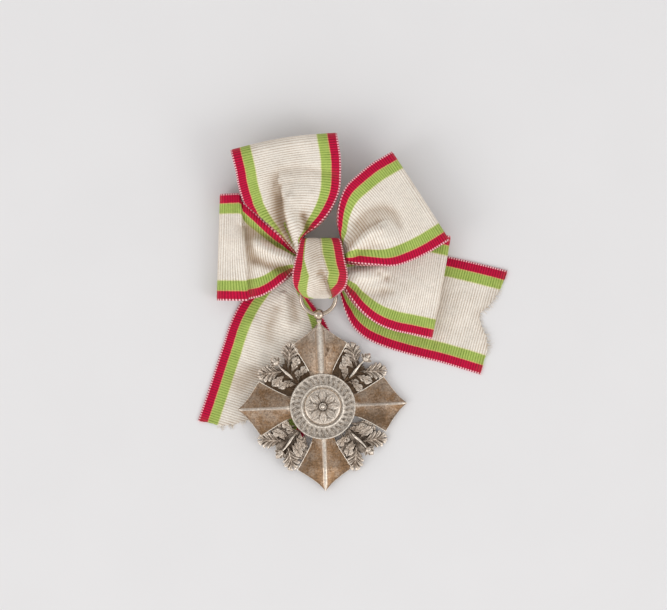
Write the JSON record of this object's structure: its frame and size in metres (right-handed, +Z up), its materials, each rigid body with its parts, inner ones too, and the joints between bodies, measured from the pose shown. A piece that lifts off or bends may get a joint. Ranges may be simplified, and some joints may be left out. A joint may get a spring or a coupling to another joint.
{
  "type": "order cross on a bow ribbon",
  "caption": "Silver order cross with oak sprigs, hung by a ring from a tied bow of striped ribbed ribbon with swallowtail ends, lying flat.",
  "frame": {"origin": "on the surface that the piece lies on, under the middle of its outline", "axes": "+X to the right of the piece, +Y from the cross up to the top loop of the bow, +Z up from the surface through the face"},
  "size_m": [0.0776, 0.0896, 0.0117],
  "materials": {
    "ribbon": "ribbed silk ribbon, cream with a green and a crimson stripe along each edge",
    "silver": "struck silver, tarnished brown in the hollows and worn bright on the ridges",
    "steel": "plain dull steel wire"
  },
  "bodies": {
    "root": {"brooch_pin": "steel", "tail_left": "ribbon", "tail_right": "ribbon", "loop_left": "ribbon", "loop_right_lower": "ribbon", "loop_top": "ribbon", "loop_right_upper": "ribbon", "knot": "ribbon", "suspension_ring": "silver", "cross_body": "silver", "medallion_ring": "silver", "medallion_disc": "silver"}
  },
  "joints": []
}
